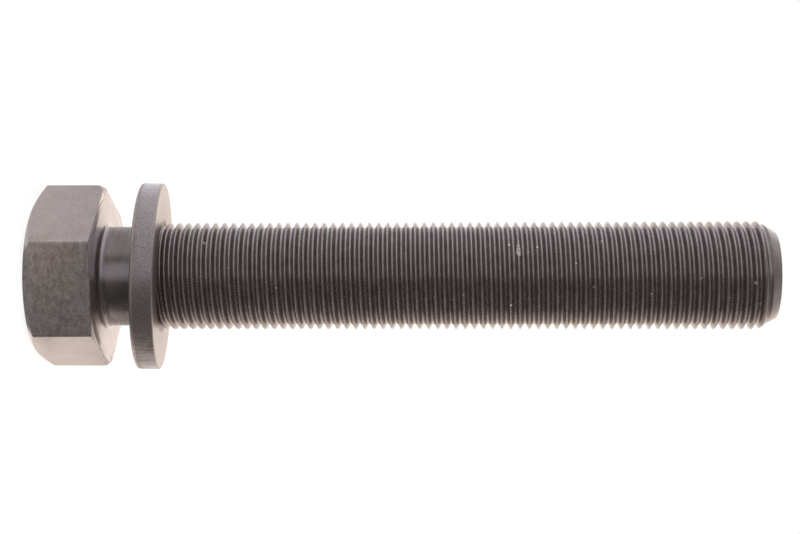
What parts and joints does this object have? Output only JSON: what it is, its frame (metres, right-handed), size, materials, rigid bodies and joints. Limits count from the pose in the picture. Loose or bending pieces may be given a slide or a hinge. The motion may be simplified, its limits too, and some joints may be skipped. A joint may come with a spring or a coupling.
{
  "type": "hex bolt with captive washer",
  "caption": "Hex-head bolt with a long fine thread, a chamfered tip and a loose thick washer trapped on the reduced neck under its head.",
  "frame": {"origin": "centre of the head's top face, on which the bolt stands", "axes": "+Z along the shank from the head to the tip; +X through a corner of the hexagon, +Y square to one of its flats"},
  "size_m": [0.0308, 0.031, 0.1206],
  "materials": {
    "bolt_steel": "dark oiled oxide finish on bare steel, semi-gloss, worn bright on the crests",
    "washer_steel": "dark oxide finish, sheared rim with short scratches"
  },
  "bodies": {
    "bolt": {"bolt": "bolt_steel"},
    "washer": {"captive_washer": "washer_steel"}
  },
  "joints": [
    {"name": "washer_slide", "type": "slide", "parent": "bolt", "child": "washer", "axis": [0, 0, 1], "range_m": [-0.0042, 0.0004]}
  ]
}
